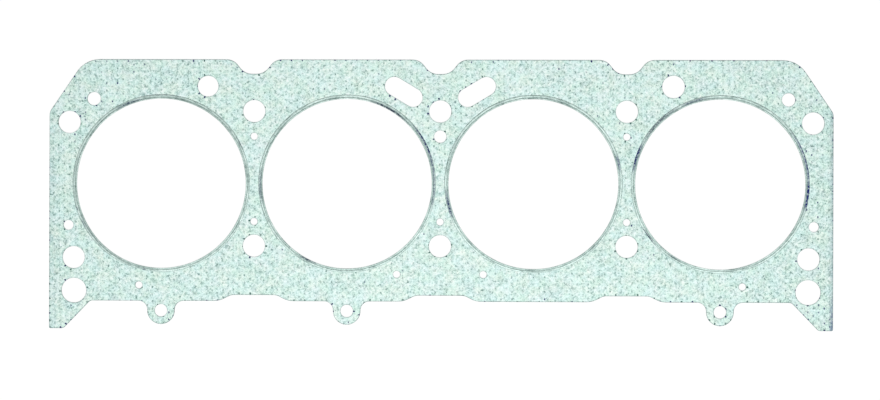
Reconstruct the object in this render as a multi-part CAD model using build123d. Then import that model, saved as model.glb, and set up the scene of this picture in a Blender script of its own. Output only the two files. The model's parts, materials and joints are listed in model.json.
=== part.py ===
"""Cylinder head gasket for one bank of four in-line bores: a die-cut composite sheet with a
folded stainless armour ring gripping its edge at each bore.

The gasket lies flat on the plane z = 0, on the lower flanges of its armour rings. The origin is
at the middle of its overall length and width. +X runs along the line of bores, +Y points to the
notched edge and +Z is up. Lengths are in millimetres, angles in degrees.
"""

from build123d import *
import os
from math import radians, tan

# ------------------------------------------------------------------ driving dimensions

# Cylinder bores, in a row
bore_count = 4
bore_radius = 53.5

# Sheet: a thin steel core with a composite facing bonded to each side, cut as one piece
sheet_thickness = 1.20

# Armour rings: stainless strip folded to a C over the edge of the sheet
armour_gauge = 0.15
armour_width = 2.60
armour_edge_clearance = 0.05
web_between_armour = 5.275

# Margins of the outline, beyond the top, bottom and outer sides of the bores
upper_margin = 24.8
lower_margin = 20.7
end_margin = 17.4

# Upper corners: a long chamfer, rounded where it starts and ends
chamfer_run = 22.6
chamfer_drop = 33.4
chamfer_upper_fillet = 17.5
chamfer_lower_fillet = 6.3

# Notches of the upper edge, one over each web between bores
notch_half_width = 9.6
notch_depth = 9.1
notch_slope = 52.0
notch_shoulder_fillet = 8.8
notch_floor_fillet = 9.7

# Recesses of the lower edge, one under each web between bores
recess_half_width = 18.0
middle_recess_half_width = 19.1
recess_depth = 3.8
recess_slope = 27.0
recess_shoulder_fillet = 14.0
recess_floor_fillet = 8.0

# Feet at the two lower corners
foot_drop = 17.6
foot_tip_width = 9.1
foot_root_width = 26.1
foot_outer_fillet = 0.9
foot_inner_fillet = 3.0
foot_root_fillet = 3.5

# Round tabs on the lower edge, under all bores but the third
bore_has_tab = (True, True, False, True)
tab_drop = 6.1
tab_radius = 8.65
tab_root_fillet = 5.7
tab_hole_radius = 3.95

# Head bolt holes: a pair on each web between bores and a pair at each end. Heights are measured
# inwards from the top and bottom of the bores, and distances outwards from their outer sides.
bolt_hole_radius = 7.02
web_bolt_below_top = 7.8
web_bolt_above_bottom = 14.2
end_bolt_upper_out = 4.7
end_bolt_below_top = 14.9
end_bolt_lower_out = 1.9
end_bolt_above_bottom = 6.65

# Coolant holes over the inner halves of the two outer bores
coolant_hole_inset = 29.5
coolant_hole_above_top = 7.9
left_coolant_hole_radius = 6.56
right_coolant_hole_radius = 7.12

# Slanted coolant slots either side of the middle notch
slot_offset = 23.1
slot_above_top = 4.5
slot_centres = 13.9
slot_width = 11.9
slot_tilt = 31.0

# Coolant holes in the lower corners
corner_hole_out = 1.7
corner_hole_below_bottom = 14.2
corner_hole_radius = 7.85

# Vent holes, one in each upper corner and one on the middle web
vent_hole_inset = 10.8
vent_hole_below_top = 0.1
vent_hole_radius = 4.19
middle_vent_height = 29.84
middle_vent_radius = 3.92

# Small metering holes: on the webs, under the outer bores, either side of the middle web and
# one larger hole at each end
metering_radius = 2.23
web_metering_height = 29.8
web_metering_depth = 24.0
outer_metering_offset = 14.0
outer_metering_below_bottom = 10.8
middle_metering_offset = 27.3
middle_metering_below_bottom = 3.6
end_metering_out = 5.2
end_metering_depth = 26.5
end_metering_radius = 3.12

# How near two places are to count as one, and how much of its side a fillet may take up
coincident = 1e-6
fillet_limit = 0.99

# ------------------------------------------------------------------ sizes that follow

armour_height = sheet_thickness + 2 * armour_gauge
sheet_bore_radius = bore_radius + armour_gauge + armour_edge_clearance
bore_pitch = 2 * (bore_radius + armour_width) + web_between_armour

bore_xs = [bore_pitch * (i - (bore_count - 1) / 2) for i in range(bore_count)]
web_xs = [(a + b) / 2 for a, b in zip(bore_xs, bore_xs[1:])]
middle_web_x = web_xs[len(web_xs) // 2]
outer_web_xs = [x for x in web_xs if x != middle_web_x]
tab_xs = [x for x, has_tab in zip(bore_xs, bore_has_tab) if has_tab]

outer_bore_x = bore_xs[-1]
bores_end_x = outer_bore_x + bore_radius
half_length = bores_end_x + end_margin
upper_edge_y = bore_radius + upper_margin
lower_edge_y = -bore_radius - lower_margin
foot_y = lower_edge_y - foot_drop
tab_y = lower_edge_y - tab_drop


# ------------------------------------------------------------------ outline of the sheet


def rounded_outline(corners):
    """A closed face through (point, fillet radius) corners, each fillet limited by its sides."""
    points = [Vector(*point) for point, _ in corners]
    count = len(points)
    sides = [points[(i + 1) % count] - points[i] for i in range(count)]
    turns = [sides[i - 1].get_angle(sides[i]) for i in range(count)]
    tangents = [radius * tan(radians(turn) / 2) for turn, (_, radius) in zip(turns, corners)]
    radii = []
    for i, (_, radius) in enumerate(corners):
        before = sides[i - 1].length / (tangents[i - 1] + tangents[i])
        after = sides[i].length / (tangents[i] + tangents[(i + 1) % count])
        radii.append(radius * min(1, fillet_limit * before, fillet_limit * after))
    return make_face(FilletPolyline(*points, radius=radii, close=True))


def dip_corners(x, edge_y, half_width, depth, slope, shoulder_fillet, floor_fillet):
    """Corners of a dip in a straight edge, from low x to high x. A positive depth goes down."""
    half_run = abs(depth) / tan(radians(slope)) / 2
    outer = half_width + half_run
    inner = half_width - half_run
    return [
        ((x - outer, edge_y), shoulder_fillet),
        ((x - inner, edge_y - depth), floor_fillet),
        ((x + inner, edge_y - depth), floor_fillet),
        ((x + outer, edge_y), shoulder_fillet),
    ]


def notch_corners(x):
    fillets = (notch_shoulder_fillet, notch_floor_fillet)
    return dip_corners(x, upper_edge_y, notch_half_width, notch_depth, notch_slope, *fillets)


def recess_corners(x):
    half_width = middle_recess_half_width if x == middle_web_x else recess_half_width
    fillets = (recess_shoulder_fillet, recess_floor_fillet)
    return dip_corners(x, lower_edge_y, half_width, -recess_depth, recess_slope, *fillets)


def end_corners(side):
    """Corners of one end, from the start of its chamfer down to the root of its foot."""
    return [
        ((side * (half_length - chamfer_run), upper_edge_y), chamfer_upper_fillet),
        ((side * half_length, upper_edge_y - chamfer_drop), chamfer_lower_fillet),
        ((side * half_length, foot_y), foot_outer_fillet),
        ((side * (half_length - foot_tip_width), foot_y), foot_inner_fillet),
        ((side * (half_length - foot_root_width), lower_edge_y), foot_root_fillet),
    ]


def sheet_outline():
    """The outline, clockwise from the left notch, with the tabs added to its lower edge."""
    corners = []
    for x in web_xs:
        corners += notch_corners(x)
    corners += end_corners(1)
    for x in reversed(web_xs):
        corners += reversed(recess_corners(x))
    corners += reversed(end_corners(-1))
    outline = rounded_outline(corners) + [Pos(x, tab_y) * Circle(tab_radius) for x in tab_xs]

    on_lower_edge = [v for v in outline.vertices() if abs(v.Y - lower_edge_y) < coincident]
    tab_roots = [v for v in on_lower_edge if min(abs(v.X - x) for x in tab_xs) < tab_radius]
    return fillet(tab_roots, tab_root_fillet)


# ------------------------------------------------------------------ holes in the sheet


def at_both_ends(x, y):
    """The two places at height y that mirror each other across the middle of the gasket."""
    return [Pos(-x, y), Pos(x, y)]


def round_holes(places, radius):
    return [place * Circle(radius) for place in places]


def bolt_holes():
    """Head bolt holes and the small holes of the tabs."""
    upper_y = bore_radius - web_bolt_below_top
    lower_y = web_bolt_above_bottom - bore_radius
    places = [Pos(x, y) for x in web_xs for y in (upper_y, lower_y)]
    places += at_both_ends(bores_end_x + end_bolt_upper_out, bore_radius - end_bolt_below_top)
    places += at_both_ends(bores_end_x + end_bolt_lower_out, end_bolt_above_bottom - bore_radius)
    tab_places = [Pos(x, tab_y) for x in tab_xs]
    return round_holes(places, bolt_hole_radius) + round_holes(tab_places, tab_hole_radius)


def coolant_holes():
    """The large water passages, with a slanted slot either side of the middle web."""
    x = outer_bore_x - coolant_hole_inset
    left, right = at_both_ends(x, bore_radius + coolant_hole_above_top)
    holes = [left * Circle(left_coolant_hole_radius), right * Circle(right_coolant_hole_radius)]
    corners = at_both_ends(
        bores_end_x + corner_hole_out, -bore_radius - corner_hole_below_bottom
    )
    holes += round_holes(corners, corner_hole_radius)
    for side in (-1, 1):
        slot = SlotCenterToCenter(slot_centres, slot_width, rotation=side * slot_tilt)
        holes.append(Pos(middle_web_x + side * slot_offset, bore_radius + slot_above_top) * slot)
    return holes


def vent_holes():
    places = at_both_ends(bores_end_x - vent_hole_inset, bore_radius - vent_hole_below_top)
    middle = Pos(middle_web_x, middle_vent_height) * Circle(middle_vent_radius)
    return round_holes(places, vent_hole_radius) + [middle]


def metering_holes():
    places = [Pos(x, web_metering_height) for x in outer_web_xs]
    places += [Pos(x, -web_metering_depth) for x in web_xs]
    places += at_both_ends(
        outer_bore_x + outer_metering_offset, -bore_radius - outer_metering_below_bottom
    )
    middle_y = -bore_radius - middle_metering_below_bottom
    places += [Pos(middle_web_x + side * middle_metering_offset, middle_y) for side in (-1, 1)]
    ends = at_both_ends(bores_end_x + end_metering_out, -end_metering_depth)
    return round_holes(places, metering_radius) + round_holes(ends, end_metering_radius)


# ------------------------------------------------------------------ pieces


def gasket_sheet():
    """The die-cut sheet, held off the ground by the lower flanges of the armour."""
    bores = round_holes([Pos(x, 0) for x in bore_xs], sheet_bore_radius)
    holes = bores + bolt_holes() + coolant_holes() + vent_holes() + metering_holes()
    return extrude(Pos(0, 0, armour_gauge) * (sheet_outline() - holes), sheet_thickness)


def armour_section():
    """The folded strip as radius in X and height in Y: a C open away from the bore."""
    outside = Pos(bore_radius, 0) * Rectangle(armour_width, armour_height, align=Align.MIN)
    inside = Pos(bore_radius + armour_gauge, armour_gauge) * Rectangle(
        armour_width, sheet_thickness, align=Align.MIN
    )
    return outside - inside


def armour_ring(x):
    return Pos(x, 0) * revolve(Plane.XZ * armour_section(), Axis.Z)


# ------------------------------------------------------------------ build and export

# The pieces are drawn about the line of bores, then moved to put the origin at mid-width
to_middle = Pos(0, -(upper_edge_y + foot_y) / 2)

os.makedirs("parts", exist_ok=True)
export_step(to_middle * gasket_sheet(), "parts/gasket_sheet.step")
for number, x in enumerate(bore_xs, start=1):
    export_step(to_middle * armour_ring(x), f"parts/armour_ring_{number}.step")
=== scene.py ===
"""Visual model of a cylinder head gasket: a die-cut sheet of mint-coated composite on a tanged
steel core, with a folded stainless armour ring round each of its four bores.

The gasket lies on the floor at z = 0 with its bores in a row along X. Everything is in metres,
and sizes written in millimetres are multiplied by MM.
"""

import json
import math

import bpy
import numpy as np
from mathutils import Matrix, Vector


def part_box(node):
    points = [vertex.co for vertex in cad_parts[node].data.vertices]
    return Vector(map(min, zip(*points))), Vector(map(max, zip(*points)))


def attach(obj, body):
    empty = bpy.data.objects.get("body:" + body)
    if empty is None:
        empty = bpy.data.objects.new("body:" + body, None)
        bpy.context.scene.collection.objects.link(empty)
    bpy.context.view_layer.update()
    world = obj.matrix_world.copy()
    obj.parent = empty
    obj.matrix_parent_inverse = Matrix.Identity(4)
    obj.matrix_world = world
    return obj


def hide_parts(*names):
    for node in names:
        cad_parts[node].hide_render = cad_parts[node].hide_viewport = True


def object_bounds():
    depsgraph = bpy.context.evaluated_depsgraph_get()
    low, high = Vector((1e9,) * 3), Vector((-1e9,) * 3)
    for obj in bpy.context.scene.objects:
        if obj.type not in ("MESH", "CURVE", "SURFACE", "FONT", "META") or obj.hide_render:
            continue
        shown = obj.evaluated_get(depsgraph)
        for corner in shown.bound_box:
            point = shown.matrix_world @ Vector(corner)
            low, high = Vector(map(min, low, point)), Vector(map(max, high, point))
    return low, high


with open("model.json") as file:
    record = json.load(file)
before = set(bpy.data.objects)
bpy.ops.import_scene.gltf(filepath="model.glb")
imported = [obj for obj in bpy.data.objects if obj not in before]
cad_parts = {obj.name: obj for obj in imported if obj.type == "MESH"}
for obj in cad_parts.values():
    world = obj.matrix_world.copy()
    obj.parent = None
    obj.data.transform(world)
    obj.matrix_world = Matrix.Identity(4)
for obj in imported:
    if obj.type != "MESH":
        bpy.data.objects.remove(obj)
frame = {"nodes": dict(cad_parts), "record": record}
cad_low, cad_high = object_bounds()

MM = 0.001
TINY = 1e-6

# ------------------------------------------------------------------ sizes

# Places of the sheet and the rings, read from the frame
SHEET_LOW, SHEET_TOP = (corner.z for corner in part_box("gasket_sheet"))
RINGS = [f"armour_ring_{number}" for number in range(1, 5)]
RING_BOXES = [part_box(name) for name in RINGS]
RING_CENTRES = np.array([[(low.x + high.x) / 2, (low.y + high.y) / 2] for low, high in RING_BOXES])
RING_OUTER = (RING_BOXES[0][1].x - RING_BOXES[0][0].x) / 2
RING_TOP = RING_BOXES[0][1].z
BORE_RADIUS = next(
    mount["dims"]["r_mm"] * MM
    for mount in frame["record"]["mounts"]
    if mount["name"] == "cylinder_bore_1"
)
BORE_LINE_Y = RING_CENTRES[0, 1]

# Layers of the sheet: half the thickness of the steel core, which is midway through the sheet
SHEET_MIDDLE = (SHEET_LOW + SHEET_TOP) / 2
CORE_HALF = 0.15 * MM

# Tangs of the core: steps between neighbours, one tang's place, the room that a whole one needs
# from the sheet's edge, and how far off the sheet a tang's middle is when the die still cuts it
TANG_STEPS = np.array([[3.468, -2.270], [-3.410, -2.333]]) * MM
TANG_START = np.array([-0.17 * MM, BORE_LINE_Y - 1.69 * MM])
TANG_EDGE_ROOM = 0.92 * MM
TANG_OFF_SHEET = 1.05 * MM


# ------------------------------------------------------------------ shader building


class Wire:
    """An output socket of a node tree. Arithmetic on it adds Math nodes to the tree."""

    def __init__(self, tree, socket=None):
        self.tree = tree
        self.socket = socket

    def node(self, kind, settings=None, inputs=None, output=0):
        """Adds a node: its settings are set first, then the values or links of its sockets."""
        made = self.tree.nodes.new(kind)
        for name, value in (settings or {}).items():
            if name == "stops":
                ramp = made.color_ramp.elements
                while len(ramp) < len(value):
                    ramp.new(1.0)
                for element, (position, colour) in zip(ramp, value):
                    element.position = position
                    element.color = (*colour, 1.0)
            else:
                setattr(made, name, value)
        for name, value in (inputs or {}).items():
            if isinstance(value, Wire):
                self.tree.links.new(value.socket, made.inputs[name])
            else:
                made.inputs[name].default_value = value
        return Wire(self.tree, made.outputs[output] if made.outputs else None)

    def math(self, operation, first, second):
        return self.node("ShaderNodeMath", {"operation": operation}, {0: first, 1: second})

    def __add__(self, other):
        return self.math("ADD", self, other)

    def __radd__(self, other):
        return self.math("ADD", other, self)

    def __sub__(self, other):
        return self.math("SUBTRACT", self, other)

    def __rsub__(self, other):
        return self.math("SUBTRACT", other, self)

    def __mul__(self, other):
        return self.math("MULTIPLY", self, other)

    def __rmul__(self, other):
        return self.math("MULTIPLY", other, self)

    def __truediv__(self, other):
        return self.math("DIVIDE", self, other)

    def at_most(self, other):
        return self.math("MINIMUM", self, other)

    def at_least(self, other):
        return self.math("MAXIMUM", self, other)

    def absolute(self):
        return self.math("ABSOLUTE", self, 0.0)

    def fade(self, start, end):
        """0 up to start and 1 from end on, with a smooth step between them."""
        return self.node(
            "ShaderNodeMapRange",
            {"interpolation_type": "SMOOTHSTEP"},
            {"Value": self, "From Min": start, "From Max": end},
        )

    def mix(self, low, high):
        """The colour low where this value is 0 and high where it is 1."""
        return self.node(
            "ShaderNodeMix", {"data_type": "RGBA"}, {0: self, 6: rgba(low), 7: rgba(high)}, 2
        )


# What is taken off the fibres' noise, because the stronger of two noises is above one half
FIBRE_EXCESS = 0.06


def rgba(colour):
    return colour if isinstance(colour, Wire) else (*colour, 1.0)


def shade(red, green, blue):
    """The linear colour of a display colour given from 0 to 255."""
    display = np.array([red, green, blue]) / 255
    linear = np.where(display < 0.04045, display / 12.92, ((display + 0.055) / 1.055) ** 2.4)
    return tuple(float(part) for part in linear)


class Finish:
    """A material with one Principled shader, and the textures that its maps are made of."""

    def __init__(self, name, **constants):
        self.material = bpy.data.materials.new(name)
        self.material.use_nodes = True
        tree = self.material.node_tree
        self.shader = tree.nodes["Principled BSDF"]
        for socket, value in constants.items():
            self.shader.inputs[socket.replace("_", " ")].default_value = value
        self.wires = Wire(tree)
        self.place = self.wires.node("ShaderNodeTexCoord", output=3)

    def noise(self, grain, detail=2.0, roughness=0.5, place=None, distortion=0.0, output=0):
        """Noise whose features are about grain metres across, from 0 to 1 about one half."""
        return self.wires.node(
            "ShaderNodeTexNoise",
            inputs={
                "Vector": place or self.place,
                "Scale": 1 / grain,
                "Detail": detail,
                "Roughness": roughness,
                "Distortion": distortion,
            },
            output=output,
        )

    def fibres(self):
        """Short pressed fibres: fine noise drawn out four ways. It is the mean of the stronger
        of the first two and the stronger of the last two, less FIBRE_EXCESS."""
        strands = []
        for turn in (0.35, 1.15, 1.95, 2.70):
            place = self.wires.node(
                "ShaderNodeMapping",
                {"vector_type": "TEXTURE"},
                {"Vector": self.place, "Rotation": (0, 0, turn), "Scale": (1.3 * MM, 0.13 * MM, MM)},
            )
            strands.append(
                self.wires.node(
                    "ShaderNodeTexNoise",
                    inputs={"Vector": place, "Scale": 1.0, "Detail": 1.0, "Distortion": 0.3},
                )
            )
        first, second, third, fourth = strands
        return first.at_least(second) * 0.5 + third.at_least(fourth) * 0.5 - FIBRE_EXCESS

    def flakes(self, grain):
        """Irregular cells about grain metres across, each of its own random value."""
        cells = self.wires.node(
            "ShaderNodeTexVoronoi", inputs={"Vector": self.place, "Scale": 1 / grain}, output=1
        )
        return self.part(cells, 0)

    def part(self, colour, index):
        """One part of a colour: 0 is its red, 1 its green and 2 its blue."""
        return self.wires.node("ShaderNodeSeparateColor", inputs={"Color": colour}, output=index)

    def coordinate(self, axis):
        return self.wires.node("ShaderNodeSeparateXYZ", inputs={0: self.place}, output=axis)

    def stored(self, name):
        """A number that the mesh holds for each of its vertices."""
        return self.wires.node("ShaderNodeAttribute", {"attribute_name": name}, output=2)

    def tint(self, colour, by):
        """The colour multiplied by another one, part by part."""
        settings = {"data_type": "RGBA", "blend_type": "MULTIPLY"}
        inputs = {0: 1.0, 6: rgba(colour), 7: rgba(by)}
        return self.wires.node("ShaderNodeMix", settings, inputs, 2)

    def ramp(self, value, *stops):
        return self.wires.node("ShaderNodeValToRGB", {"stops": stops}, {"Fac": value})

    def bump(self, height, depth):
        """Sets the surface's relief: height from 0 to 1 stands for depth metres."""
        normal = self.wires.node(
            "ShaderNodeBump", inputs={"Height": height, "Distance": depth, "Strength": 1.0}
        )
        self.feed("Normal", normal)

    def feed(self, socket, wire):
        self.wires.tree.links.new(wire.socket, self.shader.inputs[socket])


# ------------------------------------------------------------------ finishes

WHITE = (1.0, 1.0, 1.0)

# Ramps from dark to light: each stop is a position and its colour
FACING_RAMP = (
    (0.06, shade(110, 141, 136)),
    (0.30, shade(182, 210, 203)),
    (0.48, shade(208, 233, 226)),
    (0.62, shade(221, 243, 237)),
    (0.90, shade(238, 251, 247)),
)
CUT_FACING_RAMP = (
    (0.3, shade(128, 142, 136)),
    (0.5, shade(172, 188, 181)),
    (0.7, shade(202, 218, 210)),
)
ARMOUR_RAMP = (
    (0.15, shade(112, 132, 128)),
    (0.50, shade(175, 196, 190)),
    (0.85, shade(212, 229, 224)),
)

# Colours of dirt, wear and marks, and of painted shade
END_PATCH_TINT = (0.58, 0.60, 0.66)
# Painted shade in the rings' grooves and at their edges
GROOVE_SHADE_TINT = (0.20, 0.24, 0.24)
SMEAR_BLUE = shade(44, 54, 122)
# Painted shade along the rolled edges of the sheet
PAINTED_EDGE_SHADE = shade(92, 118, 118)
# Steel of the tips, dark enough to also paint the shade in their pits
TIP_STEEL_AND_PIT_SHADE = shade(66, 110, 104)
TIP_BLUED = shade(26, 36, 104)
CORE_DARK = shade(120, 124, 126)
CORE_LIGHT = shade(186, 188, 188)
# Grey of the rings' stains, also of the painted shade along the flange's outer edge
STAIN_AND_SHADE_GREY = shade(46, 56, 58)
STAIN_BLUE = shade(26, 36, 96)

# Spans over which something changes, each as two steps from the end, foot or face in its name
RIGHT_END_PATCHES = (-3.4 * MM, 0.2 * MM)
LEFT_END_PATCHES = (-1.0 * MM, 9.0 * MM)
SMEAR_FROM_RIGHT = (-3.0 * MM, -0.8 * MM)
SMEAR_FROM_FOOT = (8.0 * MM, 26.0 * MM)
ROLL_FROM_FACE = (-0.022 * MM, -0.0004 * MM)

# The left end's darker patches as a share of the right end's, and how much lower on its ramp the
# facing is at both ends than in the middle: painted shade where the light falls off towards the ends
LEFT_END_SHARE = 0.22
PAINTED_END_SHADE = 0.052


def grows(coordinate, edge, span):
    """0 before the span and 1 after it. The span is two steps from the edge."""
    start, end = span
    return coordinate.fade(edge + start, edge + end)


def facing_tone(finish):
    """Colour and height of the coated facing: fibres and filler grains of the composite show through
    its thin mint coating as fine light and dark mottling, which drifts slowly between a pinker and a
    greener mint. Towards the ends of the sheet it is a little darker, which is painted shade of the
    light falling off there."""
    clumps = finish.noise(2.0 * MM, 3.0, 0.6, distortion=0.9)
    grains = finish.noise(0.85 * MM, 2.0, 0.6)
    fibres = finish.fibres()
    flakes = finish.flakes(1.1 * MM)
    swells = finish.noise(16.0 * MM, 2.0)
    from_middle = finish.coordinate(0) / cad_high.x
    blend = (
        0.51
        + 1.12 * (clumps - 0.5)
        + 1.04 * (grains - 0.5)
        + 0.84 * (fibres - 0.5)
        + 0.24 * (flakes - 0.5)
        + 0.10 * (swells - 0.5)
        # Painted shade: the light falls off towards both ends of the sheet
        - PAINTED_END_SHADE * from_middle * from_middle
    )
    colour = finish.ramp(blend, *FACING_RAMP)
    drift = finish.noise(7.0 * MM, 3.0, 0.6, output=1)
    rose_share = finish.part(drift, 0).fade(0.32, 0.68)
    cool_share = finish.part(drift, 1).fade(0.32, 0.68)
    rose = rose_share.mix((0.952, 1.0, 0.995), (1.050, 1.0, 1.005))
    cool = cool_share.mix((1.0, 1.0, 0.962), (1.0, 1.0, 1.034))
    return finish.tint(finish.tint(colour, rose), cool), blend


def facing_finish():
    """The facing, with painted shade along the edge that the die has rolled over and darker, greyer
    patches along its ends, with a blue smear on the end of the right foot."""
    finish = Finish("facing_composite", Roughness=0.62, Specular_IOR_Level=0.35)
    colour, height = facing_tone(finish)
    x, y, z = (finish.coordinate(axis) for axis in range(3))
    half = (SHEET_TOP - SHEET_LOW) / 2
    rolled = 1.0 - grows((z - SHEET_MIDDLE).absolute(), half, ROLL_FROM_FACE)
    right_end = grows(x, cad_high.x, RIGHT_END_PATCHES)
    left_end = 1.0 - grows(x, cad_low.x, LEFT_END_PATCHES)
    ends = right_end + LEFT_END_SHARE * left_end
    # Darker, greyer noisy patches towards both ends, stronger at the right one
    end_patches = ends * finish.noise(3.0 * MM, 3.0).fade(0.24, 0.56)
    patched_facing = finish.tint(colour, end_patches.at_most(1.0).mix(WHITE, END_PATCH_TINT))
    foot_end = grows(x, cad_high.x, SMEAR_FROM_RIGHT)
    foot_tip = 1.0 - grows(y, cad_low.y, SMEAR_FROM_FOOT)
    smeared = foot_end * foot_tip * finish.noise(2.4 * MM, 3.0).fade(0.38, 0.56)
    worn = (0.62 * smeared).mix(patched_facing, SMEAR_BLUE)
    uneven = 0.72 + 0.55 * finish.noise(1.6 * MM, 3.0).fade(0.36, 0.64)
    # Painted shade on the rolled edge, held in the attribute named burr
    edge_shade = (rolled * finish.stored("burr") * uneven).at_most(1.0)
    finish.feed("Base Color", edge_shade.mix(worn, PAINTED_EDGE_SHADE))
    finish.bump(height, 0.05 * MM)
    return finish.material


def cut_facing_finish():
    """The facing's cut side: the darker, fibrous body of the composite under its coating."""
    finish = Finish("facing_cut_edge", Roughness=0.85, Specular_IOR_Level=0.2)
    fibres = finish.noise(0.35 * MM, 3.0, 0.7)
    finish.feed("Base Color", finish.ramp(fibres, *CUT_FACING_RAMP))
    finish.bump(fibres, 0.06 * MM)
    return finish.material


def core_finish():
    """The core's cut side: bare steel with a fine burr."""
    finish = Finish("core_cut_edge", Metallic=1.0, Roughness=0.42)
    burr = finish.noise(0.5 * MM, 2.0, 0.6)
    finish.feed("Base Color", burr.mix(CORE_DARK, CORE_LIGHT))
    finish.bump(burr, 0.03 * MM)
    return finish.material


def tang_finish():
    """Tips of the core: the coating thins over each tip and its pit is open down to the steel, whose
    dark colour is also painted shade in the pit.
    """
    finish = Finish("tang_tips", Roughness=0.5, Specular_IOR_Level=0.4)
    colour, height = facing_tone(finish)
    # Bare steel in the pits, partly painted shade
    bared_and_pit_shaded = finish.stored("pit") * finish.stored("wear") * (0.75 + 0.5 * finish.noise(0.4 * MM))
    steel = finish.stored("blued").mix(TIP_STEEL_AND_PIT_SHADE, TIP_BLUED)
    finish.feed("Base Color", bared_and_pit_shaded.at_most(1.0).mix(colour, steel))
    finish.bump(height, 0.03 * MM)
    return finish.material


def armour_finish():
    """Rolled stainless strip: fine streaks run round the ring, painted shade darkens its pressed
    grooves and the edges of its fold and flange, and the heat of forming has left blued spots; grey
    marks along the flange's outer edge are painted shade."""
    finish = Finish("armour_steel", Metallic=1.0)
    radius = finish.stored("ring_radius")

    def streak(grain, run):
        """Noise that is grain metres wide across the ring and about run metres long round it."""
        place = finish.wires.node(
            "ShaderNodeCombineXYZ",
            inputs={
                0: finish.coordinate(0) / run,
                1: finish.coordinate(1) / run,
                2: radius / grain,
            },
        )
        return finish.noise(1.0, 3.0, 0.6, place)

    fine = streak(0.12 * MM, 40.0 * MM)
    broad = streak(0.45 * MM, 9.0 * MM)
    smudges = finish.noise(1.8 * MM, 3.0, 0.65)
    patchy = finish.noise(9.0 * MM, 3.0, 0.6)
    tone = (
        0.5
        + 0.8 * (fine - 0.5)
        + 1.2 * (broad - 0.5)
        + 0.9 * (smudges - 0.5)
        + 0.8 * (patchy - 0.5)
    )
    steel = finish.ramp(tone, *ARMOUR_RAMP)
    # Painted shade in the grooves and edges, patchy round the ring; it also makes them rougher
    groove_shade = finish.stored("groove") * (0.20 + 0.65 * patchy.fade(0.34, 0.66) + 0.5 * broad)
    groove_shaded_steel = finish.tint(steel, groove_shade.at_most(1.0).mix(WHITE, GROOVE_SHADE_TINT))
    beads = finish.noise(1.3 * MM, 2.0, 0.6).fade(0.34, 0.60)
    # Stains and heat tint, with painted shade in the marks near the flange's outer edge
    stains_and_edge_shade = finish.stored("stain") * (0.38 + 0.80 * beads)
    mark = finish.stored("blueing").mix(STAIN_AND_SHADE_GREY, STAIN_BLUE)
    finish.feed("Base Color", stains_and_edge_shade.at_most(1.0).mix(groove_shaded_steel, mark))
    finish.feed("Roughness", (0.30 + 0.20 * smudges + 0.15 * groove_shade).at_most(0.7))
    finish.bump(fine, 0.010 * MM)
    return finish.material


# The floor's grey, the strength of the glow that lifts it, and the glow's share where it is seen
FLOOR_GREY = 0.80
FLOOR_GLOW = 1.1
FLOOR_GLOW_SHARE = 0.76


def floor_finish():
    """A white studio floor: seen directly it is lifted to white, and it keeps the shadow."""
    material = bpy.data.materials.new("studio_floor")
    material.use_nodes = True
    tree = material.node_tree
    tree.nodes.clear()
    wires = Wire(tree)
    light_path = tree.nodes.new("ShaderNodeLightPath")
    seen = Wire(tree, light_path.outputs["Is Camera Ray"])
    seen = seen.at_least(Wire(tree, light_path.outputs["Is Glossy Ray"]))
    seen = seen.at_least(Wire(tree, light_path.outputs["Is Transmission Ray"]))
    paint = wires.node("ShaderNodeBsdfDiffuse", inputs={"Color": rgba((FLOOR_GREY,) * 3)})
    glow = wires.node("ShaderNodeEmission", inputs={"Color": rgba(WHITE), "Strength": FLOOR_GLOW})
    both = wires.node(
        "ShaderNodeMixShader", inputs={0: seen * FLOOR_GLOW_SHARE, 1: paint, 2: glow}
    )
    wires.node("ShaderNodeOutputMaterial", inputs={"Surface": both})
    return material


# ------------------------------------------------------------------ meshes


def add_piece(name, points, faces, materials, smooth=True, face_materials=None):
    """A mesh object at the origin from whole arrays, riding on the gasket's one body."""
    mesh = bpy.data.meshes.new(name)
    mesh.from_pydata(points, [], faces)
    mesh.polygons.foreach_set("use_smooth", np.broadcast_to(smooth, len(faces)).astype(bool))
    for material in materials:
        mesh.materials.append(material)
    if face_materials is not None:
        mesh.polygons.foreach_set("material_index", face_materials)
    mesh.update()
    mesh.validate()
    piece = bpy.data.objects.new(name, mesh)
    bpy.context.scene.collection.objects.link(piece)
    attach(piece, "root")
    return piece


def store(piece, name, values):
    """Keeps one number for each vertex of the piece's mesh, for its finish to read."""
    attribute = piece.data.attributes.new(name, "FLOAT", "POINT")
    attribute.data.foreach_set("value", np.asarray(values, np.float32))


def closed_loop(count):
    """The numbers of the points of a closed loop, and the number of the point after each."""
    here = np.arange(count)
    return here, (here + 1) % count


def repeated_faces(patterns, copies, points_each):
    """The faces of many like shapes: each pattern of faces, moved on by the points of the
    shapes before it."""
    first = np.arange(copies)[:, None, None] * points_each
    faces = []
    for pattern in patterns:
        faces += (pattern + first).reshape(-1, pattern.shape[1]).tolist()
    return faces


def merged_triangles(node):
    """The vertices and triangles of a CAD node's mesh, with its doubled vertices merged."""
    mesh = node.data
    mesh.calc_loop_triangles()
    points = np.empty(len(mesh.vertices) * 3)
    mesh.vertices.foreach_get("co", points)
    corners = np.empty(len(mesh.loop_triangles) * 3, np.int64)
    mesh.loop_triangles.foreach_get("vertices", corners)
    points, merged = np.unique(points.reshape(-1, 3).round(8), axis=0, return_inverse=True)
    return points, merged.reshape(-1)[corners].reshape(-1, 3)


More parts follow.
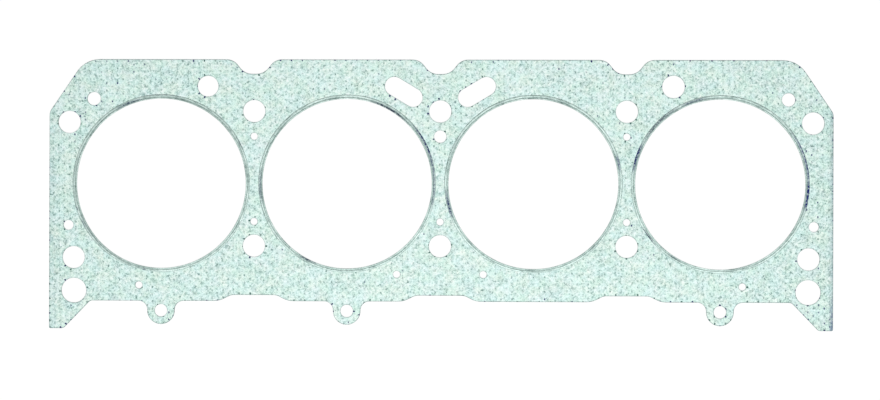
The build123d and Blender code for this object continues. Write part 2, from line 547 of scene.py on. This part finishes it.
class SheetRim:
    """The rims of the sheet's upper face: its outline and the edge of every hole.

    An edge of the face's triangles lies on a rim when no other triangle has it the other way
    round, and it then runs with the sheet on its left.
    """

    def __init__(self, node):
        points, triangles = merged_triangles(node)
        level = abs(points[triangles][:, :, 2] - SHEET_TOP) < 10 * TINY
        used, flat = np.unique(triangles[level.all(axis=1)], return_inverse=True)
        self.points = points[used, :2]
        self.triangles = flat.reshape(-1, 3)
        count = len(used)
        edges = np.concatenate([self.triangles[:, pair] for pair in ([0, 1], [1, 2], [2, 0])])
        forward = edges[:, 0] * count + edges[:, 1]
        backward = edges[:, 1] * count + edges[:, 0]
        self.edges = edges[~np.isin(forward, backward)]
        self.before = np.empty(count, np.int64)
        self.after = np.empty(count, np.int64)
        self.after[self.edges[:, 0]] = self.edges[:, 1]
        self.before[self.edges[:, 1]] = self.edges[:, 0]

    def outline(self):
        """For each rim vertex, whether its rim is the sheet's outline. Each vertex takes the
        least number among those ahead of it, over steps that double until they span a rim."""
        least, ahead = np.arange(len(self.points)), self.after
        for _ in range(int(math.log2(len(self.points))) + 1):
            least = np.minimum(least, least[ahead])
            ahead = ahead[ahead]
        return least == least[self.points[:, 0].argmin()]

    def inward(self):
        """At each rim vertex, the step that moves both of its edges one unit into the sheet:
        the sum of their left-hand normals over one plus the normals' dot product."""
        into = left_of(unit(self.points - self.points[self.before]))
        out = left_of(unit(self.points[self.after] - self.points))
        return (into + out) / (1 + np.sum(into * out, axis=1, keepdims=True))

    def nearest(self, places):
        """For each place: how deep inside the sheet it is, negative outside, the nearest point
        of a rim, and the rim's direction there."""
        start = self.points[self.edges[:, 0]]
        run = self.points[self.edges[:, 1]] - start
        offset = places[:, None] - start
        share = np.clip(np.sum(offset * run, axis=2) / np.sum(run * run, axis=1), 0, 1)
        gap = offset - share[..., None] * run
        distance = np.hypot(gap[..., 0], gap[..., 1])
        closest = distance.argmin(axis=1)
        rows = np.arange(len(places))
        along = unit(run)[closest]
        touch = places - gap[rows, closest]
        inside = np.sign(np.sum(left_of(along) * gap[rows, closest], axis=1))
        return inside * distance[rows, closest], touch, along


def unit(vectors):
    return vectors / np.linalg.norm(vectors, axis=-1, keepdims=True)


def left_of(vectors):
    return np.stack([-vectors[..., 1], vectors[..., 0]], axis=-1)


# Painted shade on the rolled edge: how dark it is along the outline, what its side that faces the
# notches, away from the lamp, adds, what its left side takes away, and how dark it is round the
# holes
OUTLINE_EDGE_SHADE = 0.80
NOTCH_SIDE_EDGE_SHADE = 0.08
LEFT_SIDE_EDGE_SHADE = 0.20
HOLE_EDGE_SHADE = 0.45


def build_sheet(rim, finishes):
    """The sheet with its die-rolled edges. The profile of a cut edge is a list of (inset from
    the cut, height) from the upper face to the lower one: a rounded roll, the facing set back a
    little, the core flush, the other facing and its roll. It is carried along every rim, and
    the flat faces keep their triangles on the profile's two ends."""
    roll = [(0.50, 0.0), (0.36, 0.012), (0.16, 0.040), (0.05, 0.11)]
    upper = [(inset * MM, SHEET_TOP - drop * MM) for inset, drop in roll]
    upper += [(0.03 * MM, SHEET_MIDDLE + CORE_HALF), (0.0, SHEET_MIDDLE + CORE_HALF)]
    lower = [(inset, 2 * SHEET_MIDDLE - height) for inset, height in reversed(upper)]
    profile = np.array(upper + lower)

    count, stations = len(rim.points), len(profile)
    places = rim.points + profile[:, None, :1] * rim.inward()
    heights = np.broadcast_to(profile[:, None, 1:], (stations, count, 1))
    points = np.concatenate([places, heights], axis=2).reshape(-1, 3)

    start, end = rim.edges.T
    level = np.arange(stations - 1)[:, None] * count
    strips = np.stack(
        [start + level, start + level + count, end + level + count, end + level], axis=2
    )
    last = (stations - 1) * count
    faces = strips.reshape(-1, 4).tolist()
    faces += rim.triangles.tolist() + (rim.triangles[:, ::-1] + last).tolist()

    facing, cut, core = 0, 1, 2
    of_strip = np.full(stations - 1, facing)
    of_strip[len(roll) - 1 : 1 - len(roll)] = cut
    of_strip[len(upper) - 1] = core
    flats = 2 * len(rim.triangles)
    face_materials = np.concatenate([np.repeat(of_strip, len(rim.edges)), np.full(flats, facing)])
    smooth = np.arange(len(faces)) < len(faces) - flats
    sheet = add_piece(
        "gasket_sheet_die_cut", points, faces, finishes, smooth, face_materials
    )
    sheet.data.set_sharp_from_angle(angle=math.radians(50))
    # The attribute named burr holds painted shade along the rolled edges: more on edges that face
    # the notches, away from the lamp, and less on edges that face left
    inward = unit(rim.inward())
    at_left = np.clip(inward[:, 0], 0, 1)
    of_outline = OUTLINE_EDGE_SHADE + NOTCH_SIDE_EDGE_SHADE * -inward[:, 1] - LEFT_SIDE_EDGE_SHADE * at_left
    store(sheet, "burr", np.tile(np.where(rim.outline(), of_outline, HOLE_EDGE_SHADE), stations))
    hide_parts("gasket_sheet")


# Steps of the lattice to each side of its start, which span the whole sheet
LATTICE_STEPS = 130

# Room that every tang leaves round the rings, and that a cut tang leaves
RING_ROOM = 0.2 * MM
RING_ROOM_CUT = 0.5 * MM


def from_rings(places):
    """Each place's distance from the middle of the nearest ring."""
    return np.linalg.norm(places[:, None] - RING_CENTRES, axis=2).min(axis=1)


def tang_places(rim, shift):
    """Places of the lattice of tangs in and round the sheet, moved by shift steps."""
    steps = np.arange(-LATTICE_STEPS, LATTICE_STEPS + 1)
    steps = np.stack(np.meshgrid(steps, steps, indexing="ij"), axis=-1).reshape(-1, 2) + shift
    places = TANG_START + steps @ TANG_STEPS
    low, high = rim.points.min(axis=0) - MM, rim.points.max(axis=0) + MM
    places = places[np.all((places > low) & (places < high), axis=1)]
    return places[from_rings(places) > RING_OUTER + RING_ROOM]


# Where more of the tangs are blued: place in millimetres, reach and share
BLUED_PLACES = (
    (-206, 72, 34, 0.85),
    (-228, 50, 15, 0.85),
    (236, 50, 20, 0.80),
    (248, 15, 34, 0.85),
    (245, -76, 13, 2.40),
    (-173, -78, 8, 0.80),
    (-54, -79, 8, 0.80),
    (-241, 57, 2.2, 6.0),
    (-217, 83, 2.2, 6.0),
    (-211, 83, 2.2, 6.0),
    (-190, 83, 2.2, 6.0),
    (-214, 58, 2.2, 6.0),
    (-225, 49, 3.0, 6.0),
    (-230, 37, 2.2, 6.0),
    (-241, -84, 4.0, 6.0),
    (243, -84, 5.0, 6.0),
)


# Share of blued tangs within the sheet, what its edges add, and what they add beyond that above
# the height at which the strip along the notches begins
BLUED_WITHIN = 0.012
BLUED_AT_EDGE = 0.24
BLUED_AT_NOTCHES = 0.26
NOTCHED_STRIP_Y = 60 * MM

# Width of the bell curve in from an edge, and the part of a listed place's share that is left
# further in
EDGE_REACH = 1.5 * MM
LISTED_WITHIN = 0.25


def blued_share(places, depth):
    """The share of blued tangs: few within the sheet, more at its cut edges, and about twice as
    many at those of the strip along the notches. It falls off inwards as a bell curve. Near
    the places listed it rises, in full at the edges and by a quarter within, and falls off as
    a bell curve with the distance."""
    at_edge = np.exp(-((np.maximum(depth, 0) / EDGE_REACH) ** 2))
    in_strip = places[:, 1] > NOTCHED_STRIP_Y
    share = BLUED_WITHIN + (BLUED_AT_EDGE + BLUED_AT_NOTCHES * in_strip) * at_edge
    for x, y, reach, most in BLUED_PLACES:
        away = np.linalg.norm(places / MM - (x, y), axis=1)
        local = most * np.exp(-((away / reach) ** 2))
        share = np.maximum(share, local * (LISTED_WITHIN + (1 - LISTED_WITHIN) * at_edge))
    return share


def clinch_strength(places):
    """How far the tips show, from about 0.7 to 1.0: a sum of slow waves over the sheet, which
    stands for the uneven pressure of the rollers that clinched them."""
    x, y = places.T / MM
    swell = np.sin(0.047 * x + 0.9) * np.cos(0.061 * y - 0.4) + 0.6 * np.sin(0.13 * x - 0.11 * y)
    return 0.86 + 0.09 * swell


def add_tangs(name, points, patterns, finish, pit, wear, blued):
    """One piece of many tangs, with what their finish reads: how bare each point is, how worn
    each tang is and whether it is blued."""
    count, points_each = points.shape[:2]
    faces = repeated_faces(patterns, count, points_each)
    piece = add_piece(name, points.reshape(-1, 3), faces, [finish])
    store(piece, "pit", np.tile(pit, count))
    store(piece, "wear", np.repeat(wear, points_each))
    store(piece, "blued", np.repeat(blued * 1.0, points_each))


# A whole tang's rings of points, outwards: radius, rise and tilt in millimetres, and bareness, which
# also paints shade into the pit
TIP_RINGS = np.array([
    (0.24, 0.016, 0.016, 1.0),
    (0.37, 0.004, 0.0, 1.0),
    (0.49, 0.026, 0.006, 0.25),
    (0.78, -0.005, 0.0, 0.0),
])
TIP_SIDES = 8
TIP_MIDDLE_RISE = 0.030 * MM
TIP_MIDDLE_BARENESS = 0.9

# Reach of a whole tang of size 1 from its middle, rounded up, and what it keeps clear of the
# sheet's edge
TIP_REACH = 1.02 * MM
TIP_CLEARANCE = 0.14 * MM


def build_tangs(name, places, room, side, blued, finish, rng):
    """Clinched tips of the core's tangs on one face. Each is a low oval crater round a steel
    tip: rings of points at growing radii round a middle point. Outwards they are the tilted
    tip's edge, the pit round it, the pit's raised rim and a skirt that sinks into the facing,
    and a flat face under them closes the shape. A tip near the sheet's edge is as small as the
    room to that edge asks for."""
    angles = np.arange(TIP_SIDES) * math.tau / TIP_SIDES
    radii, rises, tilts = (column[:, None] * MM for column in TIP_RINGS.T[:3])
    radii = radii * (1 + 0.07 * np.cos(3 * angles))
    last_ring = len(radii) - 1

    count = len(places)
    places = places + np.clip(rng.normal(0.0, 0.05 * MM, places.shape), -0.1 * MM, 0.1 * MM)
    size = rng.uniform(0.95, 1.12, (count, 1, 1))
    size = np.minimum(size, ((room - TIP_CLEARANCE) / TIP_REACH)[:, None, None])
    opening = rng.uniform(0.20, 1.34, (count, 1, 1))
    size = size * np.where(np.arange(len(radii))[:, None] < last_ring, opening, 1.0)
    turn = rng.normal(0.0, 0.3, (count, 1, 1))
    lean = rng.uniform(0, math.tau, (count, 1, 1))
    oval = np.array([0.80, 1.14])
    wobble = 1 + rng.uniform(-0.07, 0.03, (count, *radii.shape))
    around = np.stack([np.cos(angles + turn), np.sin(angles + turn)], axis=-1)
    spread = around * (radii * size * wobble)[..., None] * oval
    wear = (0.08 + 0.84 * rng.random(count)) * clinch_strength(places)
    wear = np.maximum(wear, blued)
    press = np.clip(0.25 + wear, 0.3, 1.0)[:, None, None]
    heights = side * (rises * press + tilts * np.cos(angles - lean))
    rings = np.concatenate([places[:, None, None] + spread, heights[..., None]], axis=3)
    middle_height = np.full((count, 1, 1), TIP_MIDDLE_RISE * side)
    middle = np.concatenate([places[:, None], middle_height], axis=2)
    points = np.concatenate([middle, rings.reshape(count, -1, 3)], axis=1)
    points[..., 2] += SHEET_TOP if side > 0 else SHEET_LOW

    here, following = closed_loop(TIP_SIDES)
    inner, outer = 1 + here, 1 + here + TIP_SIDES
    next_inner, next_outer = 1 + following, 1 + following + TIP_SIDES
    fan = np.stack([np.zeros(TIP_SIDES, int), inner, next_inner], axis=1)
    band = np.stack([inner, outer, next_outer, next_inner], axis=1)
    bands = np.concatenate([band + ring * TIP_SIDES for ring in range(last_ring)])
    under = (inner + last_ring * TIP_SIDES)[None, ::-1]
    patterns = [pattern[:, ::side] for pattern in (fan, bands, under)]
    pit = np.append(TIP_MIDDLE_BARENESS, np.repeat(TIP_RINGS[:, 3], TIP_SIDES))
    add_tangs(name, points, patterns, finish, pit, wear, blued)


# Stations of a cut tang over the sheet's edge: inset, depth and half width in millimetres, and pull
CUT_STATIONS = np.array([
    (0.86, 0.006, 0.00, 1.0),
    (0.64, -0.012, 0.40, 1.0),
    (0.30, -0.014, 0.60, 0.8),
    (0.09, 0.035, 0.58, 0.1),
    (0.022, 0.130, 0.50, 0.0),
    (0.018, 0.300, 0.32, 0.0),
    (0.022, 0.440, 0.00, 0.0),
])
CUT_HALF_THICKNESS = 0.035 * MM

# How far off the sheet a tang's middle would leave none of it, and the least part that is left
CUT_REACH = 3.2 * MM
CUT_LEAST = 0.6

# Inset from which a cut tang lies flat on the face, and the least inset of any of its points
CUT_FLAT_INSET = 0.3 * MM
CUT_LEAST_INSET = 0.004 * MM


def build_cut_tangs(name, touch, along, room, blued, finish, rng):
    """Tangs that the die has cut through: a dark sliver bent over the rolled edge of the sheet.
    Stations follow (inset, depth, half width, pull) over the edge, and pull is the share of the
    tang's own distance from the edge that is added to the inset. The further a tang's middle
    lies off the sheet, the less of it is left. A station is a flat diamond of four points, and
    the first and last stations are one point each."""
    inset, depth, width = CUT_STATIONS.T[:3] * MM
    pull = CUT_STATIONS[:, 3]
    left_over = np.clip(1 + room / CUT_REACH, CUT_LEAST, 1.0)
    inset = inset * left_over[:, None] + np.clip(room, 0, None)[:, None] * pull
    crown = np.array([0.0, 1.0, 0.0, -1.0])
    across = np.array([-1.0, 0.0, 1.0, 0.0])
    flatness = np.clip(inset / CUT_FLAT_INSET, 0, 1)[..., None]

    count = len(touch)
    size = rng.uniform(0.7, 1.15, (count, 1, 1)) * left_over[:, None, None]
    push = np.sign(width)[:, None] * crown * CUT_HALF_THICKNESS
    sideways = size * width[:, None] * across
    inward = np.maximum(inset[..., None] - push * (1 - flatness), CUT_LEAST_INSET)
    rise = -depth[:, None] + push * flatness
    places = (
        touch[:, None, None]
        + left_of(along)[:, None, None] * inward[..., None]
        + along[:, None, None] * sideways[..., None]
    )
    places = np.clip(places, cad_low[:2], cad_high[:2])
    points = np.concatenate([places, (SHEET_TOP + rise)[..., None]], axis=3)
    corners = len(crown)
    points = points.reshape(count, -1, 3)[:, corners - 1 : 1 - corners]

    here, following = closed_loop(corners)
    level = 1 + np.arange(len(CUT_STATIONS) - 3)[:, None] * corners
    above = level + corners
    quads = np.stack([here + level, following + level, following + above, here + above], axis=2)
    last = points.shape[1] - 1
    last_diamond = last - corners
    inner_fan = np.stack([np.zeros(corners, int), 1 + following, 1 + here], axis=1)
    outer_fan = np.stack(
        [np.full(corners, last), last_diamond + here, last_diamond + following], axis=1
    )
    patterns = [quads.reshape(-1, corners), inner_fan, outer_fan]
    wear = np.maximum(rng.uniform(0.35, 1.15, count), blued)
    add_tangs(name, points, patterns, finish, np.ones(last + 1), wear, blued)


# Painted shade in the rings' grooves, on their fold and along their flange's outer edge, by distance
# from the bore in millimetres
GROOVE_AT = (0.0, 0.10, 0.34, 0.66, 0.86, 1.30, 1.46, 2.32, 2.44, 2.60)
GROOVE_SHADE_TONE = (0.1, 0.0, 0.08, 0.20, 0.46, 0.46, 0.0, 0.0, 0.62, 0.95)

# Marks of each ring, heat stains and, where they lie near the flange's outer edge, painted shade:
# angle and half width in degrees, distance from the bore and reach there in millimetres, strength,
# and how blue the mark is
RING_MARKS = (
    (
        (-101, 1, 2.2, 0.6, 1.10, 0.4),
        (-102, 5, 0.7, 0.5, 0.25, 0.1),
        (-122, 5, 0.6, 0.5, 0.38, 0.0),
        (-146, 13, 1.1, 0.9, 0.24, 0.4),
        (-152, 3, 2.1, 0.6, 0.60, 0.8),
        (-163, 1, 2.4, 0.6, 1.10, 0.5),
        (-200, 11, 1.1, 0.5, 0.20, 0.1),
        (-228, 9, 1.0, 0.6, 0.26, 0.2),
        (-248, 8, 1.1, 0.7, 0.80, 0.5),
        (-270, 12, 2.5, 0.35, 0.70, 0.3),
        (-322, 5, 1.2, 0.5, 0.28, 0.2),
        (-332, 4, 2.3, 0.5, 0.50, 0.4),
    ),
    (
        (-2, 14, 1.7, 0.8, 0.62, 0.7),
        (12, 6, 1.8, 0.7, 0.80, 0.8),
        (28, 12, 2.0, 0.6, 1.15, 0.8),
        (60, 13, 0.7, 0.7, 1.00, 0.3),
        (-117, 6, 0.6, 0.6, 0.85, 0.3),
        (-144, 3, 2.2, 0.5, 0.35, 0.3),
        (-178, 11, 1.5, 0.8, 0.55, 0.6),
        (-228, 4, 1.6, 0.6, 0.30, 0.3),
    ),
    (
        (-46, 4, 1.1, 0.6, 0.45, 0.1),
        (-136, 4, 1.0, 0.6, 0.30, 0.1),
        (-166, 8, 1.6, 0.9, 0.95, 0.7),
        (-208, 7, 1.7, 0.6, 0.32, 0.3),
        (-248, 4, 1.6, 0.6, 0.35, 0.2),
        (-283, 9, 1.5, 0.6, 0.28, 0.2),
        (14, 5, 1.7, 0.8, 0.75, 0.9),
    ),
    (
        (-7, 9, 1.9, 0.9, 1.25, 1.0),
        (15, 19, 2.1, 0.8, 0.85, 1.0),
        (-64, 4, 1.9, 0.6, 0.30, 0.3),
        (-79, 8, 0.6, 0.5, 0.40, 0.1),
        (-122, 5, 1.0, 0.6, 0.70, 0.2),
        (-144, 6, 2.3, 0.7, 1.05, 0.3),
        (-198, 9, 1.9, 1.0, 0.95, 0.8),
        (-226, 15, 1.7, 0.9, 0.75, 0.3),
        (-252, 8, 1.5, 0.8, 0.75, 0.5),
    ),
)


# How far the flange is pressed off centre, and how deep the waves of its width and crest are
FLANGE_OFFSET = 0.14 * MM
FLANGE_WAVE = 0.05 * MM
CREST_WAVE = 0.012 * MM

# Radius of the fold, places round a ring, and waves round a ring that are added up
FOLD_RADIUS = 0.34 * MM
RING_TURNS = 400
RING_WAVES = np.arange(2, 9)


def build_ring(name, centre, marks, finish, rng):
    """An armour ring: a strip folded over the bore edge of the sheet, carried round the bore.

    The profile is (distance from the bore, height above the middle of the sheet) for the upper
    half: the bore wall, a round fold, the crest, a pressed valley, the flange and its edge; the
    lower half mirrors it, and the inner side of the strip closes it against the sheet. Round
    the ring the flange's width and crest vary a little, as sums of slow sine waves, and the
    flange is pressed slightly off centre, towards the notched edge."""
    half = RING_TOP - SHEET_MIDDLE
    inside = SHEET_TOP - SHEET_MIDDLE
    bend = np.radians(np.linspace(0, 90, 6))
    fold = np.stack([1 - np.cos(bend), 1 - np.sin(bend)], axis=1) * FOLD_RADIUS
    fold[:, 1] = half - fold[:, 1]
    land = np.array([
        (0.54, 0.000),
        (0.74, 0.020),
        (0.88, 0.070),
        (1.00, 0.092),
        (1.16, 0.092),
        (1.30, 0.060),
        (1.42, 0.024),
        (1.60, 0.008),
        (2.00, 0.012),
        (2.24, 0.022),
        (2.40, 0.040),
        (2.50, 0.072),
        (2.57, 0.105),
        (2.60, 0.147),
    ]) * MM
    land[:, 1] = half - land[:, 1]
    outer_side = np.concatenate([fold, land])
    inner_side = np.array([(2.56 * MM, inside), (0.15 * MM, inside)])
    upper = np.concatenate([outer_side, inner_side])
    lower = upper * (1, -1)
    profile = np.concatenate([lower[::-1][2:], outer_side, inner_side, lower[::-1][:2]])

    angles = np.arange(RING_TURNS) * math.tau / RING_TURNS
    phases = rng.uniform(0, math.tau, (2, len(RING_WAVES)))
    sizes = rng.uniform(0.3, 1.0, (2, len(RING_WAVES))) / RING_WAVES
    sines = np.sin(RING_WAVES[:, None] * angles + phases[..., None])
    wave = (sizes[:, :, None] * sines).sum(axis=1)
    widen = FLANGE_OFFSET * np.sin(angles) - FLANGE_WAVE * (1 + wave[0] / abs(wave[0]).max())
    sink = CREST_WAVE * (1 + wave[1] / abs(wave[1]).max())

    distance, height = profile.T
    out = np.clip(distance / (RING_OUTER - BORE_RADIUS), 0, 1)
    radius = BORE_RADIUS + distance + widen[:, None] * out ** 2
    crest = np.clip((abs(height) - inside) / (half - inside), 0, 1)
    level = SHEET_MIDDLE + height - np.sign(height) * crest * sink[:, None]
    points = np.stack(
        [
            centre[0] + radius * np.cos(angles)[:, None],
            centre[1] + radius * np.sin(angles)[:, None],
            level,
        ],
        axis=2,
    )

    here, following = closed_loop(len(profile))
    section, next_section = (
        numbers[:, None] * len(profile) for numbers in closed_loop(RING_TURNS)
    )
    faces = np.stack(
        [section + here, next_section + here, next_section + following, section + following],
        axis=2,
    )
    faces = faces.reshape(-1, 4).tolist()
    piece = add_piece(name, points.reshape(-1, 3), faces, [finish])
    piece.data.set_sharp_from_angle(angle=math.radians(60))
    store(piece, "ring_radius", radius.ravel())
    # Painted shade by distance from the bore
    profile_shade = np.interp(distance / MM, GROOVE_AT, GROOVE_SHADE_TONE)
    store(piece, "groove", np.tile(profile_shade, RING_TURNS))

    # Marks: stains and heat tint, and painted shade along the flange's outer edge
    angle, half_width, at, reach, strength, blueing = np.array(marks).T[:, :, None, None]
    away = (np.degrees(angles)[:, None] - angle + 180) % 360 - 180
    spread = strength * np.exp(-((away / half_width) ** 4) - ((distance / MM - at) / reach) ** 2)
    blue = (spread * blueing).sum(axis=0) / (spread.sum(axis=0) + TINY)
    store(piece, "stain", spread.max(axis=0).ravel())
    store(piece, "blueing", blue.ravel())
    return piece


# ------------------------------------------------------------------ the gasket

rng = np.random.default_rng(4)
rim = SheetRim(frame["nodes"]["gasket_sheet"])
tang = tang_finish()
build_sheet(rim, [facing_finish(), cut_facing_finish(), core_finish()])

upper_places = tang_places(rim, (0.0, 0.0))
depth, touch, along = rim.nearest(upper_places)
blued = rng.random(len(depth)) < blued_share(upper_places, depth)
whole = depth > TANG_EDGE_ROOM
build_tangs("tang_tips_upper", upper_places[whole], depth[whole], 1, blued[whole], tang, rng)
cut = (depth > -TANG_OFF_SHEET) & ~whole & (from_rings(touch) > RING_OUTER + RING_ROOM_CUT)
build_cut_tangs("tang_tips_cut", touch[cut], along[cut], depth[cut], blued[cut], tang, rng)

lower_places = tang_places(rim, (0.5, 0.5))
depth = rim.nearest(lower_places)[0]
blued = rng.random(len(depth)) < blued_share(lower_places, depth)
whole = depth > TANG_EDGE_ROOM
build_tangs("tang_tips_lower", lower_places[whole], depth[whole], -1, blued[whole], tang, rng)

armour = armour_finish()
for name, centre, marks in zip(RINGS, RING_CENTRES, RING_MARKS):
    piece = build_ring(f"{name}_folded", centre, marks, armour, rng)
    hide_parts(name)

# ------------------------------------------------------------------ studio

# Half the floor's side in metres, and the greys of the sky near the horizon and overhead
FAR = 6
HORIZON = (0.40, 0.40, 0.40)
OVERHEAD = (0.92, 0.92, 0.92)

# The lamp: its sides and place in metres, and its power in watts
LAMP_SIDES = (0.9, 0.6)
LAMP_POWER = 2.66
LAMP_PLACE = (0.05, -0.30, 0.72)

# The camera: lens and sensor in millimetres, the width that it sees at the gasket, its lean and
# roll in radians, and where it aims from the bore line
LENS = 85.0
SENSOR = 36.0
SEEN_WIDTH = 0.5546
LEAN = 0.01768
ROLL = 0.00283
AIM_X = -0.00004
AIM_BELOW_BORES = 0.01012

floor_mesh = bpy.data.meshes.new("studio_floor")
floor_corners = [(-FAR, -FAR, 0), (FAR, -FAR, 0), (FAR, FAR, 0), (-FAR, FAR, 0)]
floor_mesh.from_pydata(floor_corners, [], [(0, 1, 2, 3)])
floor_mesh.materials.append(floor_finish())
floor = bpy.data.objects.new("studio_floor", floor_mesh)
bpy.context.scene.collection.objects.link(floor)

world = bpy.data.worlds.new("studio")
world.use_nodes = True
bpy.context.scene.world = world
sky = Wire(world.node_tree)
direction = sky.node("ShaderNodeTexCoord", output=0)
rise = sky.node("ShaderNodeSeparateXYZ", inputs={0: direction}, output=2)
glow = rise.fade(0.10, 0.95).mix(HORIZON, OVERHEAD)
world.node_tree.links.new(glow.socket, world.node_tree.nodes["Background"].inputs["Color"])

lamp_data = bpy.data.lights.new("softbox", "AREA")
lamp_data.shape = "RECTANGLE"
lamp_data.size, lamp_data.size_y = LAMP_SIDES
lamp_data.energy = LAMP_POWER
lamp = bpy.data.objects.new("softbox", lamp_data)
bpy.context.scene.collection.objects.link(lamp)
lamp.location = LAMP_PLACE
lamp.rotation_euler = (Vector((0, 0, 0)) - lamp.location).to_track_quat("-Z", "Y").to_euler()
lamp.visible_camera = False

# Camera: straight above, turned and tilted by the little that a hand-set camera is
camera_data = bpy.data.cameras.new("camera")
camera_data.lens = LENS
camera_data.sensor_width = SENSOR
camera = bpy.data.objects.new("camera", camera_data)
bpy.context.scene.collection.objects.link(camera)
height = SEEN_WIDTH / camera_data.sensor_width * camera_data.lens
aim = Vector((AIM_X, BORE_LINE_Y - AIM_BELOW_BORES, SHEET_TOP))
camera.location = aim + Vector((math.sin(LEAN), 0, math.cos(LEAN))) * height
camera.rotation_mode = "QUATERNION"
look = Matrix.Rotation(LEAN, 3, "Y") @ Matrix.Rotation(ROLL, 3, "Z")
camera.rotation_quaternion = look.to_quaternion()
bpy.context.scene.camera = camera

bpy.context.scene.view_settings.view_transform = "Standard"
